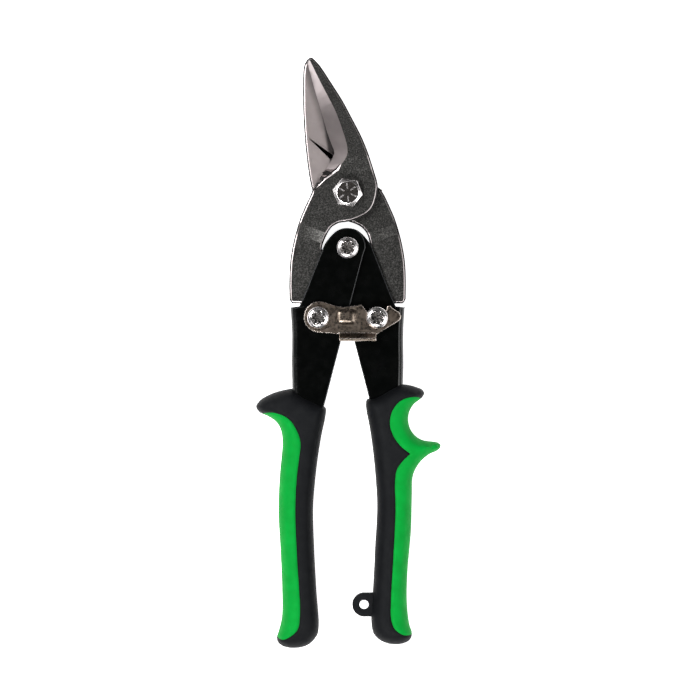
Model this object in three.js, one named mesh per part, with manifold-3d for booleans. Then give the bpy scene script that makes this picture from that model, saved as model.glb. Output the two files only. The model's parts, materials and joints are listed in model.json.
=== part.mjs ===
// Compound aviation snips for sheet metal, closed and latched.
//
// Two forged blades cross on a main bolt. Each tang runs into a folded steel handle and is linked to
// it by a screw. The two handles cross on a pivot of their own just below the main bolt, so the four
// pivots make a kite-shaped linkage. A swinging latch holds the handles shut.
//
// Frame: the snips lie on their back, front face up (+Z), jaws towards +Y. The origin is the point
// where the main bolt's axis meets the surface that they lie on. Sizes are in millimetres.

import * as THREE from 'three';
import { mergeVertices } from 'three/addons/utils/BufferGeometryUtils.js';
import Module from 'manifold-3d';

const wasm = await Module();
wasm.setup();

// ---- pivots ----
const boltAxis = [0, 0];
const handleAxis = [0, -23.3];
const leftLinkAxis = [-12.45, -52.95];
const rightLinkAxis = [12.45, -52.95];

// ---- stacking heights, measured from the shear plane between the two blades ----
const shearPlane = 10;        // height of the shear plane above the resting surface
const gap = 0.3;              // running clearance between neighbouring plates
const sheet = 1.7;            // handle sheet
const stagger = 1;            // a tang's middle plane stands this far from the shear plane
const tang = 5.4;             // tang thickness
const bossFace = 5.15;        // outer face of a blade round the main bolt
const jawFace = 6;            // outer face of a jaw
const shearFace = gap / 2;    // inner face of a blade
const edgeLand = 1;           // thickness left at the cutting edge
const frontFlange = [stagger + tang / 2 + gap, stagger + tang / 2 + gap + sheet];
const rearFlange = [stagger - tang / 2 - gap - sheet, stagger - tang / 2 - gap];
const latchSheet = 1.4;
const latchPlate = [frontFlange[1] + gap, frontFlange[1] + gap + latchSheet];
const gripHalf = 10;          // half the thickness of a grip
const throughAll = [-30, 30]; // heights of a cut or blank that runs past every piece

// ---- fasteners ----
const boltRadius = 4;
const boltHex = 11.1;         // across flats
const pinRadius = 2.4;        // handle pivot
const linkRadius = 2.1;       // link screws
const fit = 0.2;              // radial clearance of a pin in its hole
const openPivotFit = 0.35;    // the rear blade's clearance on the main bolt
const screwHeadRadius = 4.65;
const headGap = 0.25;         // clearance under a head, a washer or a nut
const linkEyeRadius = 6.8;    // round end of a tang

// ---- helpers: outlines ----

function line(points) {
  return points.map(([x, y]) => new THREE.Vector2(x, y));
}

function curve(points, segments) {
  return new THREE.SplineCurve(line(points)).getPoints(segments);
}

function arc([x, y], radius, fromDegrees, toDegrees, segments) {
  const points = [];
  for (let i = 0; i <= segments; i += 1) {
    const angle = THREE.MathUtils.degToRad(THREE.MathUtils.lerp(fromDegrees, toDegrees, i / segments));
    points.push(new THREE.Vector2(x + radius * Math.cos(angle), y + radius * Math.sin(angle)));
  }
  return points;
}

function circle(centre, radius, segments = 28) {
  return arc(centre, radius, 0, 360 - 360 / segments, segments - 1);
}

function mirrored(points) {
  return points.map((point) => new THREE.Vector2(-point.x, point.y));
}

// Moves a closed outline outwards by a distance, or inwards by a negative one
function grown(points, distance) {
  const ring = THREE.ShapeUtils.isClockWise(points) ? [...points].reverse() : points;
  return ring.map((point, i) => {
    const before = ring[(i + ring.length - 1) % ring.length];
    const after = ring[(i + 1) % ring.length];
    const normalIn = new THREE.Vector2(point.y - before.y, before.x - point.x).normalize();
    const normalOut = new THREE.Vector2(after.y - point.y, point.x - after.x).normalize();
    const normal = normalIn.clone().add(normalOut).normalize();
    const reach = distance / Math.max(normal.dot(normalIn), 0.5);
    return point.clone().addScaledVector(normal, reach);
  });
}

// ---- helpers: solids ----

function solid(geometry) {
  const bare = geometry.index ? geometry.toNonIndexed() : geometry.clone();
  bare.deleteAttribute('normal');
  bare.deleteAttribute('uv');
  const welded = mergeVertices(bare, 1e-4);
  const corners = [];
  for (let i = 0; i < welded.index.count; i += 3) {
    const triangle = [welded.index.getX(i), welded.index.getX(i + 1), welded.index.getX(i + 2)];
    if (new Set(triangle).size === 3) {
      corners.push(...triangle);
    }
  }
  return new wasm.Manifold(new wasm.Mesh({
    numProp: 3,
    vertProperties: new Float32Array(welded.attributes.position.array),
    triVerts: new Uint32Array(corners),
  }));
}

function geometryOf(manifold) {
  const mesh = manifold.getMesh();
  const geometry = new THREE.BufferGeometry();
  geometry.setAttribute('position', new THREE.BufferAttribute(mesh.vertProperties, 3));
  geometry.setIndex(new THREE.BufferAttribute(mesh.triVerts, 1));
  return geometry;
}

// An outline in the XY plane, from one height to another
function plate(points, bottom, top) {
  const shape = new THREE.Shape(points);
  const geometry = new THREE.ExtrudeGeometry(shape, { depth: top - bottom, bevelEnabled: false });
  return solid(geometry.translate(0, 0, bottom));
}

// A side profile of (distance, height) pairs, swept both ways along the horizontal line that is
// square to the direction in which the distance runs
function profilePrism(profile, direction, halfWidth) {
  const shape = new THREE.Shape(line(profile));
  const geometry = new THREE.ExtrudeGeometry(shape, { depth: 2 * halfWidth, bevelEnabled: false });
  const along = new THREE.Vector3(direction.x, direction.y, 0).normalize();
  const up = new THREE.Vector3(0, 0, 1);
  const across = along.clone().cross(up);
  geometry.translate(0, 0, -halfWidth);
  return solid(geometry.applyMatrix4(new THREE.Matrix4().makeBasis(along, up, across)));
}

// A turned piece on a vertical axis from (radius, height) pairs
function turned(profile, [x, y], segments = 28) {
  const geometry = new THREE.LatheGeometry(line(profile), segments);
  geometry.rotateX(Math.PI / 2);
  return solid(geometry.translate(x, y, 0));
}

// A closed solid through a row of convex sections with the same number of points
function loft(sections) {
  const count = sections[0].length;
  const last = (sections.length - 1) * count;
  const index = [];
  for (let start = 0; start < last; start += count) {
    for (let i = 0; i < count; i += 1) {
      const a = start + i;
      const b = start + ((i + 1) % count);
      index.push(a, b, b + count, a, b + count, a + count);
    }
  }
  for (let i = 1; i < count - 1; i += 1) {
    index.push(0, i + 1, i, last, last + i, last + i + 1);
  }
  const geometry = new THREE.BufferGeometry();
  geometry.setFromPoints(sections.flat());
  geometry.setIndex(index);
  const made = solid(geometry);
  if (made.volume() > 0) {
    return made;
  }
  for (let i = 0; i < index.length; i += 3) {
    [index[i], index[i + 1]] = [index[i + 1], index[i]];
  }
  geometry.setIndex(index);
  return solid(geometry);
}

function halfTurn(manifold) {
  return manifold.rotate([0, 180, 0]);
}

// ---- blades ----

// Undersides of the boss and inner edges of the tang, each drawn with its tang on the left
const frontUnderside = [[12.35, -1.3], [11, -5.7], [8.5, -8.7], [5.2, -10.6], [2.4, -11.7], [-0.2, -12.3],
  [-3.2, -12.7], [-4.9, -13.4], [-7.05, -14.9], [-9.1, -18.3], [-10.5, -21.7], [-10.9, -23.6]];
const rearUnderside = [[12.35, -1.3], [10.9, -5.7], [8.1, -8.6], [3.6, -10.8], [0.3, -11.9],
  [-2.7, -12.8], [-4.4, -13.6], [-6.1, -14.7], [-7.8, -16.6], [-8.6, -18.3], [-9.1, -20], [-9.5, -22.4]];

// Left tang, from under the boss, round the link eye and up the outer edge
function tangOutline(underside) {
  return [
    ...curve(underside, 30),
    ...arc(leftLinkAxis, linkEyeRadius, 20, -200, 14),
    ...line([[-19.5, -46.9], [-23.3, -46.9], [-24.3, -46.2]]),
    ...curve([[-24.65, -44.8], [-24.75, -38], [-24.5, -31], [-23.9, -25.9], [-22.9, -20.8],
      [-21.6, -15.7], [-20, -10.7], [-17.8, -5.6], [-15.6, -0.9]], 20),
  ];
}

// Boss and tang in side view: the tang steps back towards the shear plane, so that the two tangs lie
// nearly level with each other
const stepStart = 19.4;
const stepEnd = 24.4;
const stepDirection = new THREE.Vector2(-0.382, -0.924);
function tangLayer() {
  const tangFront = stagger + tang / 2;
  const tangBack = stagger - tang / 2;
  return profilePrism([[-90, shearFace], [stepStart, shearFace], [stepEnd, tangBack], [90, tangBack],
    [90, tangFront], [stepEnd, tangFront], [stepStart, bossFace], [-90, bossFace]], stepDirection, 90);
}

// The jaw stands a little prouder than the boss, up a short slope
const jawSlopeStart = 8.9;
const jawSlopeEnd = 15.7;
function jawLayer() {
  return profilePrism([[6, shearFace], [90, shearFace], [90, jawFace], [jawSlopeEnd, jawFace],
    [jawSlopeStart, bossFace], [6, bossFace]], new THREE.Vector2(0, 1), 90);
}

function outerFaceHeight(y) {
  const rise = (y - jawSlopeStart) / (jawSlopeEnd - jawSlopeStart);
  return bossFace + (jawFace - bossFace) * THREE.MathUtils.clamp(rise, 0, 1);
}

// What the grinding of the cutting bevel takes away: a ruled face falls from its upper border on the
// jaw's outer face to the cutting edge, and on past it
function bevelCutter(border, edge) {
  const steps = 22;
  const reach = 3;
  const clear = jawFace + 3;
  const edgePoints = curve(edge, steps);
  const sections = curve(border, steps).map((from, i) => {
    const run = edgePoints[i].clone().sub(from);
    const width = run.length();
    const slope = (outerFaceHeight(from.y) - shearFace - edgeLand) / width;
    const start = from.clone().addScaledVector(run, -0.15 / width);
    const end = from.clone().addScaledVector(run, 1 + reach / width);
    return [
      new THREE.Vector3(start.x, start.y, outerFaceHeight(from.y) + 0.15 * slope),
      new THREE.Vector3(end.x, end.y, shearFace + edgeLand - reach * slope),
      new THREE.Vector3(end.x, end.y, clear),
      new THREE.Vector3(start.x, start.y, clear),
    ];
  });
  return loft(sections);
}

const frontEdge = [[-17.3, 56.1], [-16.6, 53.5], [-14.7, 46.5], [-12.9, 40.2], [-10.9, 33.6],
  [-8.6, 25.5], [-6.6, 20.1], [-5.7, 17.4], [-6.4, 14.8], [-8.4, 11.3], [-11.6, 6.6], [-14.5, 1.95]];
const frontBevelBorder = [[-16.5, 56.8], [-15.5, 55.1], [-11.8, 47.4], [-8.6, 41.3], [-4.9, 34],
  [-2.1, 26.3], [-0.5, 21], [0, 17], [-1.3, 13.75], [-4.5, 10.1], [-10.2, 6], [-14.3, 1.6]];

function frontBlade() {
  const outline = [
    ...curve([[-15.5, 57.6], [-11.8, 53.9], [-7, 46.6], [-2.1, 38.9], [2, 31.2], [5.6, 24.3],
      [8.5, 17.4], [10.5, 11.3], [12.5, 4.8], [12.8, 1.9]], 24),
    ...tangOutline(frontUnderside),
    ...curve(frontEdge, 33).reverse(),
  ];
  const blank = plate(outline, ...throughAll);
  return blank.intersect(tangLayer())
    .add(blank.intersect(jawLayer()))
    .subtract(bevelCutter(frontBevelBorder, frontEdge))
    .subtract(plate(circle(boltAxis, boltRadius + fit), ...throughAll))
    .subtract(plate(circle(leftLinkAxis, linkRadius + fit, 20), ...throughAll));
}

const rearEdge = [[-17.2, 56.6], [-15.6, 53.5], [-13.1, 46.5], [-11, 40.2], [-9, 33.6],
  [-6.6, 25.5], [-4.6, 20.1], [-3, 17.2], [0, 14.4], [4.6, 11.6], [9.3, 8.1], [14, 1.6]];
const rearBevelBorder = [[-17.6, 56.4], [-16.9, 53.4], [-16, 46.5], [-14.9, 40.2], [-13.9, 33.6],
  [-12.3, 25.5], [-10.6, 19.6], [-8.2, 15.6], [-4.2, 12.2], [1.6, 9.2], [7.6, 6.2], [13.8, 1.2]];

// The rear blade's outer face looks down, so its bevel is cut on the mirror image of the front one's
// heights
function rearBlade() {
  const outline = [
    ...curve([[-18.3, 54.6], [-18.9, 50], [-18.9, 37], [-18.5, 28], [-17.9, 20], [-17, 12],
      [-15.9, 5], [-14.2, -2.2]], 20),
    ...mirrored(tangOutline(rearUnderside)).slice(2),
    ...curve(rearEdge, 33).reverse(),
  ];
  const blank = plate(outline, ...throughAll);
  const faceDown = (manifold) => manifold.mirror([0, 0, 1]);
  return blank.intersect(halfTurn(tangLayer()))
    .add(blank.intersect(faceDown(jawLayer())))
    .subtract(faceDown(bevelCutter(rearBevelBorder, rearEdge)))
    .subtract(plate(circle(boltAxis, boltRadius + openPivotFit), ...throughAll))
    .subtract(plate(circle(rightLinkAxis, linkRadius + fit, 20), ...throughAll));
}

// ---- handles: one pressing, used twice, the second one turned half round its length ----

const handleShoulder = -48.6;
const handleOuterEdge = [[-24.2, handleShoulder], [-23.6, -60], [-23.7, -72], [-23.4, -84], [-23.3, -100],
  [-24, -130], [-22.9, -160], [-22.5, -182]];
const handleEyeTop = [[-11.1, -25.1], [-9.8, -22], [-8.4, -20], [-7, -18.3], [-4.9, -16.4], [-2.6, -15.3],
  [0, -15], [2.7, -15.4], [5, -16.9], [6.7, -19.2], [7.5, -21.6]];
const handleInnerEdge = [[7.6, -23.3], [6.3, -27.5], [-9.1, -87], [-11, -94]];
const stemInnerEdge = [[-15, -106], [-17.2, -130], [-15.9, -160], [-15.5, -182]];

function stemOutline(top) {
  return [
    ...curve(handleOuterEdge, 28),
    ...curve(stemInnerEdge, 10).reverse(),
    ...line(handleInnerEdge).reverse().filter((point) => point.y < top),
  ];
}

function handlePressing() {
  const ear = [
    ...line([[-24.2, handleShoulder], [-20.4, -48.2], [-18.4, -43.7]]),
    ...curve(handleEyeTop, 26),
  ];
  const flange = [...ear, ...line(handleInnerEdge), ...curve(stemInnerEdge, 10),
    ...curve(handleOuterEdge, 28).reverse().slice(0, -1)];
  const outerEdge = curve(handleOuterEdge, 28);
  const webOutline = [...outerEdge, ...outerEdge.map((p) => new THREE.Vector2(p.x + sheet, p.y)).reverse()];
  const walls = plate(flange, ...frontFlange)
    .add(plate(flange, ...rearFlange))
    .add(plate(webOutline, rearFlange[0], frontFlange[1]));
  return walls
    .intersect(foldedEnvelope(outerEdge))
    .subtract(plate(circle(handleAxis, pinRadius + fit, 20), ...throughAll))
    .subtract(plate(circle(leftLinkAxis, linkRadius + fit, 20), ...throughAll));
}

// The outside of the folded channel, with its two long bends rounded
function foldedEnvelope(outerEdge) {
  const bend = 2.9;
  const farSide = 60;
  const corner = (centre, fromDegrees, toDegrees) => arc(centre, bend, fromDegrees, toDegrees, 5);
  const section = ({ x, y }) => [
    ...corner([x + bend, frontFlange[1] - bend], 180, 90),
    new THREE.Vector2(farSide, frontFlange[1]),
    new THREE.Vector2(farSide, rearFlange[0]),
    ...corner([x + bend, rearFlange[0] + bend], 270, 180),
  ].map((point) => new THREE.Vector3(point.x, y, point.y));
  const rows = outerEdge.map(section);
  const webTop = handleShoulder - 0.01;
  const aboveWeb = plate(line([[-farSide, webTop], [farSide, webTop], [farSide, 0], [-farSide, 0]]),
    ...throughAll);
  return loft(rows).add(aboveWeb);
}

// ---- grips: a hard black core and an inlay laid into its outer side ----

const leftGripOutline = [
  ...curve([[-38.6, -90.4], [-37.2, -88], [-33.8, -85.9], [-30.4, -84.5], [-26, -83.4], [-23.2, -83]], 10),
  ...line([[-18.9, -85.9], [-14.7, -88], [-9.4, -90.8]]),
  ...curve([[-9.1, -92], [-10.9, -102], [-12.6, -112.5], [-13.8, -122.7], [-14.6, -134],
    [-14.15, -150.7], [-13.2, -168.5], [-12.2, -183.8]], 14),
  ...curve([[-12.6, -186.6], [-16.2, -191.4], [-20.2, -192.9], [-26, -192.8], [-29.4, -190.9],
    [-30, -188.6]], 10),
  ...curve([[-29.4, -186.3], [-27.9, -180], [-27.8, -168], [-28.4, -153], [-29.3, -135],
    [-28.8, -120], [-27.6, -105], [-28.5, -100], [-30.4, -97], [-33.8, -94.6], [-37.4, -93]], 30),
];
const leftInlayBorder = [
  ...curve([[-37, -92.7], [-30.4, -93.5], [-25.3, -95.8], [-22, -99.75], [-19.9, -105.7],
    [-21.5, -121], [-22.1, -134], [-21.4, -154], [-20.1, -176], [-21, -184.6], [-23.3, -187.2]], 30),
  ...line([[-27, -189.3], [-29.8, -188.4]]),
];
const leftInlayRegion = [...leftInlayBorder, ...line([[-45, -186.5], [-45, -97]])];
const leftCore = curve([[-17, -94.5], [-23, -94], [-24.7, -98], [-25.2, -105], [-26.3, -120], [-26.8, -135],
  [-26, -152], [-25.5, -168], [-25.6, -181], [-22, -184.5], [-17, -184]], 24);

const rightGripOutline = [
  ...curve([[22.5, -81.2], [26.5, -81.6], [29.9, -82.6], [31.9, -83.5], [32.5, -84.9], [31.6, -86.9],
    [28.2, -89.5], [26.3, -92.6], [25.7, -96], [26.5, -99.9], [28.6, -102.9], [31.6, -104.8],
    [35, -105.4], [38.2, -105.8], [39.5, -107.3], [38.2, -109.2], [35, -110.7], [31.6, -113.3],
    [29, -116.8], [27.6, -120.5], [27.3, -128], [26.9, -143], [25.4, -161], [25.2, -174],
    [26.2, -183], [27.4, -187]], 70),
  ...curve([[26.8, -189.4], [23.6, -191.2], [18, -191.4], [13.6, -189.7], [10.9, -186.6]], 8),
  ...curve([[10, -181], [10.9, -166], [11.6, -150.7], [12.5, -133], [11.8, -120], [10.8, -110],
    [9.4, -99.8], [7.6, -89.6]], 14),
  ...line([[8.2, -87.2], [9.2, -88], [11.5, -87], [15.7, -84.7], [18.9, -82.9]]),
];
const rightInlayBorder = [
  ...curve([[31.4, -87], [28.2, -86.6], [24.8, -87.1], [21.4, -89], [18.6, -93.2], [17.9, -98],
    [19.4, -103], [22.2, -107], [26.4, -110.6]], 20),
  ...curve([[23.7, -113.3], [20.9, -117.2], [20.1, -122], [20.3, -134], [19.4, -154], [18.4, -172],
    [18.6, -181.5], [20.2, -184.8], [23.6, -187.1]], 24),
];
const rightInlayRegion = [...rightInlayBorder,
  ...line([[27.6, -187], [45, -186], [45, -88.5], [34, -87.6]])];
const rightCore = [
  ...curve([[15, -85], [22.4, -85], [24, -87.5], [24.1, -96], [24.8, -102], [27.5, -106.5], [28, -109.5],
    [26, -115], [25.3, -122], [25.2, -133], [24.6, -146], [23.2, -161], [22.9, -174],
    [22.6, -183.5], [15, -184]], 40),
];

const gripRound = 1.2;        // how far a grip's faces are drawn in at their edges
const gripCrown = 2.5;        // depth of that rounding
const inlayDepth = 2.2;       // thickness of the inlay on the front and back

function gripBlank(outline) {
  const geometry = new THREE.ExtrudeGeometry(new THREE.Shape(outline), {
    depth: 2 * (gripHalf - gripCrown),
    bevelSize: gripRound,
    bevelOffset: -gripRound,
    bevelThickness: gripCrown,
    bevelSegments: 2,
  });
  return solid(geometry.translate(0, 0, gripCrown - gripHalf));
}

function inlay(blank, region, core) {
  const depth = gripHalf - inlayDepth;
  return blank.intersect(plate(region, ...throughAll)).subtract(plate(core, -depth, depth));
}

function gripBody(blank, region, core, pocket) {
  const depth = gripHalf - inlayDepth - gap;
  const insideCore = plate(grown(core, -gap), -depth, depth);
  const cut = plate(grown(region, gap), ...throughAll).subtract(insideCore);
  return blank.subtract(cut).subtract(pocket);
}

// The blind slot that a handle is pressed into
function stemPocket() {
  const top = -70;
  const outline = grown(stemOutline(top), gap).filter((point) => point.y < top);
  return plate(outline, rearFlange[0] - gap, frontFlange[1] + gap);
}

const hangEye = [7, -174.6];
const hangEyeRadius = 5.05;
const hangHoleRadius = 2;
const hangEyeHalf = 3.5;
const hangLugEnd = 12.5;      // the lug's straight part runs this far into the grip

// ---- fasteners ----

function hexagon(centre, acrossFlats, turnDegrees) {
  return arc(centre, acrossFlats / Math.sqrt(3), turnDegrees, turnDegrees + 300, 5);
}

const boltHead = [bossFace + headGap, bossFace + 4.1];
const boltHexTurn = -8;       // degrees
const washerRadius = 8.2;
const washerSheet = 1;
const washerStack = [-bossFace - headGap - washerSheet, -bossFace - headGap];
const nutHex = 12.6;          // across flats
const boltTail = 0.4;         // how far the bolt stands out of its nut
const nutStack = [-shearPlane + boltTail, washerStack[0] - headGap];

function mainBolt() {
  const crown = 4.68;
  const head = plate(hexagon(boltAxis, boltHex, boltHexTurn), ...boltHead)
    .intersect(turned([[0, boltHead[0]], [6.7, boltHead[0]], [6.7, boltHead[1] - 1.2],
      [crown, boltHead[1]], [0, boltHead[1]]], boltAxis, 36));
  const shank = turned([[0, -shearPlane], [boltRadius - 0.6, -shearPlane], [boltRadius, -shearPlane + 0.6],
    [boltRadius, boltHead[0] + 0.5], [0, boltHead[0] + 0.5]], boltAxis);
  return head.add(shank);
}

function mainNut() {
  const [bottom, top] = nutStack;
  return plate(hexagon(boltAxis, nutHex, 14), bottom, top)
    .intersect(turned([[0, bottom], [6.1, bottom], [7.6, bottom + 0.9], [7.6, top], [0, top]], boltAxis, 36))
    .subtract(plate(circle(boltAxis, boltRadius + fit), ...throughAll));
}

function ring(centre, inner, outer, bottom, top, segments = 28) {
  return plate(circle(centre, outer, segments), bottom, top)
    .subtract(plate(circle(centre, inner, segments), ...throughAll));
}

// Domed screw with a six-lobed recess, its stem and an optional thicker neck under the head
function domedScrew(centre, radius, headBottom, end, neck) {
  const rise = 2.3;
  const headTop = headBottom + rise;
  const recess = [];
  for (let i = 0; i < 36; i += 1) {
    const angle = (i / 36) * 2 * Math.PI;
    const reach = 2.15 + 0.45 * Math.cos(6 * angle);
    recess.push(new THREE.Vector2(centre[0] + reach * Math.cos(angle), centre[1] + reach * Math.sin(angle)));
  }
  const head = turned([[0, headBottom], [screwHeadRadius, headBottom], [screwHeadRadius, headBottom + 0.7],
    [screwHeadRadius - 0.9, headBottom + 1.6], [screwHeadRadius - 2.3, headTop - 0.15], [0, headTop]], centre)
    .subtract(plate(recess, headTop - 1.5, headTop + 1));
  const stem = turned([[0, end], [radius - 0.4, end], [radius, end + 0.4], [radius, headBottom + 0.3],
    [0, headBottom + 0.3]], centre, 20);
  const screw = head.add(stem);
  return neck ? screw.add(plate(circle(centre, neck.radius, 20), neck.bottom, headBottom + 0.3)) : screw;
}

function lockNut(centre, radius, bottom, top) {
  return plate(hexagon(centre, 8, 20), bottom, top)
    .intersect(turned([[0, bottom], [3.9, bottom], [4.9, bottom + 0.6], [4.9, top], [0, top]], centre))
    .subtract(plate(circle(centre, radius + fit, 20), ...throughAll));
}

// ---- return spring: one and a half turns round the handle pivot, each leg against a tang ----

function returnSpring() {
  const wire = 0.65;
  const coil = 4.9;
  const halfRise = 1.2;
  const turns = 1.5;
  const [x, y] = handleAxis;
  const path = [new THREE.Vector3(-7.15, y - 14.7, halfRise), new THREE.Vector3(-6.05, y - 7.4, halfRise)];
  const steps = 24;
  for (let i = 0; i <= steps; i += 1) {
    const part = i / steps;
    const angle = Math.PI - part * turns * 2 * Math.PI;
    const height = halfRise - 2 * halfRise * part;
    path.push(new THREE.Vector3(x + coil * Math.cos(angle), y + coil * Math.sin(angle), height));
  }
  path.push(new THREE.Vector3(5.8, y - 7.4, -halfRise), new THREE.Vector3(6.35, y - 14.7, -halfRise));
  const geometry = new THREE.ExtrudeGeometry(new THREE.Shape(circle([0, 0], wire, 8)), {
    steps: 64,
    bevelEnabled: false,
    extrudePath: new THREE.CatmullRomCurve3(path),
  });
  return solid(geometry);
}

// ---- latch: a pressed plate on the left link screw, hooked under the right one's head ----

const latchNeckRadius = 2.4;
const hookSlope = 72;         // lean of the hook's wall, in degrees from +X

// Thumb dimple: a rounded oblong pressed up out of the plate, in pairs of (inset, height)
const dimpleCentre = [-0.6, -52.6];
const dimpleHalf = [4.1, 3.1];
const dimpleProfile = [[-0.7, -0.3], [-0.1, 0.15], [0.4, 0.65], [1.05, 1], [1.9, 1.15]];

function dimpleRing(inset) {
  const squareness = 0.45;
  return circle([0, 0], 1, 32).map(({ x, y }) => new THREE.Vector2(
    dimpleCentre[0] + (dimpleHalf[0] - inset) * Math.sign(x) * Math.abs(x) ** squareness,
    dimpleCentre[1] + (dimpleHalf[1] - inset) * Math.sign(y) * Math.abs(y) ** squareness));
}

function latch() {
  const notchRadius = latchNeckRadius + 0.25;
  const notch = arc(rightLinkAxis, notchRadius, hookSlope - 90, -hookSlope - 90, 10);
  const mouth = -47.95;
  const hookRun = (mouth - notch[0].y) / Math.tan(THREE.MathUtils.degToRad(hookSlope));
  const outline = [
    ...arc([-11.9, -52.7], 6.6, 75, 268, 16),
    ...line([[-4.2, -59.9], [12.1, -60.2], [17.2, -57], [21.6, -54.3], [22.5, -53.4], [22.6, -52.3],
      [21.9, -50.9], [notch[0].x + hookRun + 0.9, mouth - 0.1], [notch[0].x + hookRun, mouth]]),
    ...notch,
    ...curve([[8.9, -51.9], [8.3, -50.7], [7, -48.9], [5.6, -47.4]], 6),
    ...curve([[4.4, -47.7], [-0.8, -48.4], [-4.2, -48.2], [-7.2, -47.3]], 8),
  ];
  const [bottom, top] = latchPlate;
  const tab = profilePrism([[-57.5, bottom], [-60.3, bottom], [-63, bottom + 5.6], [-61.7, bottom + 6.2],
    [-59.5, top], [-57.5, top]], new THREE.Vector2(0, 1), 7.8).translate([4.3, 0, 0]);
  const dimpleRings = dimpleProfile.map(([inset, height]) => (
    dimpleRing(inset).map(({ x, y }) => new THREE.Vector3(x, y, top + height))));
  return plate(outline, bottom, top)
    .add(tab)
    .add(loft(dimpleRings))
    .subtract(plate(circle(leftLinkAxis, linkRadius + fit, 20), ...throughAll));
}

// ---- materials ----

function finish(color, roughness, metalness) {
  return new THREE.MeshStandardMaterial({ color, roughness, metalness });
}

const forged = () => finish(0x4a4a48, 0.55, 0.9);
const blackPaint = () => finish(0x0b0c0b, 0.3, 0.1);
const chrome = () => finish(0xd0cccb, 0.18, 1);
const nickel = () => finish(0x7d7265, 0.35, 1);
const zinc = () => finish(0x8f9193, 0.4, 1);
const springSteel = () => finish(0x55575a, 0.35, 1);
const blackRubber = () => finish(0x222426, 0.65, 0);
const greenRubber = () => finish(0x03a63f, 0.6, 0);

// ---- assembly ----

const snips = new THREE.Group();
snips.position.z = shearPlane;

function addPiece(name, manifold, material) {
  const mesh = new THREE.Mesh(geometryOf(manifold), material);
  mesh.name = name;
  snips.add(mesh);
  return mesh;
}

addPiece('front_blade', frontBlade(), forged());
addPiece('rear_blade', rearBlade(), forged());
addPiece('pivot_bolt', mainBolt(), chrome());
addPiece('pivot_washer', ring(boltAxis, boltRadius + fit, washerRadius, ...washerStack, 32), zinc());
addPiece('pivot_nut', mainNut(), zinc());

const pressing = handlePressing();
addPiece('left_handle', pressing, blackPaint());
addPiece('right_handle', pressing, blackPaint()).rotation.y = Math.PI;

const headSeat = frontFlange[1] + headGap;
const screwEnd = -9.2;
const screwTail = 0.4;        // how far a screw stands out of its nut
const sleeveRadius = 3.9;
addPiece('handle_pivot_screw', domedScrew(handleAxis, pinRadius, headSeat, screwEnd), chrome());
addPiece('handle_pivot_nut',
  lockNut(handleAxis, pinRadius, screwEnd + screwTail, -headSeat), zinc());
addPiece('handle_pivot_sleeve',
  ring(handleAxis, pinRadius + fit, sleeveRadius, rearFlange[1] + gap, -rearFlange[1] - gap, 24), zinc());
addPiece('return_spring', returnSpring(), springSteel());

const latchWasher = [latchPlate[1] + 0.2, latchPlate[1] + 0.8];
const latchWasherRadius = 5.3;
const linkEnd = -8;
addPiece('left_link_screw',
  domedScrew(leftLinkAxis, linkRadius, latchWasher[1] + 0.2, linkEnd), chrome());
addPiece('left_link_nut',
  lockNut(leftLinkAxis, linkRadius, linkEnd + screwTail, rearFlange[0] - headGap), zinc());
addPiece('latch_washer', ring(leftLinkAxis, linkRadius + fit, latchWasherRadius, ...latchWasher), nickel());
addPiece('right_link_screw', domedScrew(rightLinkAxis, linkRadius, latchPlate[1] + gap, screwEnd,
  { radius: latchNeckRadius, bottom: -rearFlange[0] + headGap }), chrome());
addPiece('right_link_nut',
  lockNut(rightLinkAxis, linkRadius, screwEnd + screwTail, -headSeat), zinc());
addPiece('latch', latch(), nickel());

const leftBlank = gripBlank(leftGripOutline);
addPiece('left_grip_body', gripBody(leftBlank, leftInlayRegion, leftCore, stemPocket()), blackRubber());
addPiece('left_grip_inlay', inlay(leftBlank, leftInlayRegion, leftCore), greenRubber());

const rightBlank = gripBlank(rightGripOutline);
const lug = [...arc(hangEye, hangEyeRadius, 90, 270, 16),
  ...line([[hangLugEnd, hangEye[1] - hangEyeRadius], [hangLugEnd, hangEye[1] + hangEyeRadius]])];
const eyelet = plate(lug, -hangEyeHalf, hangEyeHalf);
const rightBody = gripBody(rightBlank, rightInlayRegion, rightCore, halfTurn(stemPocket()))
  .add(eyelet.subtract(halfTurn(stemPocket())))
  .subtract(plate(circle(hangEye, hangHoleRadius, 20), ...throughAll));
addPiece('right_grip_body', rightBody, blackRubber());
addPiece('right_grip_inlay', inlay(rightBlank, rightInlayRegion, rightCore), greenRubber());

export default snips;
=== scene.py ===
import json
import math

import bmesh
import bpy
import numpy as np
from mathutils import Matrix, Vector
from mathutils.geometry import delaunay_2d_cdt

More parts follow.
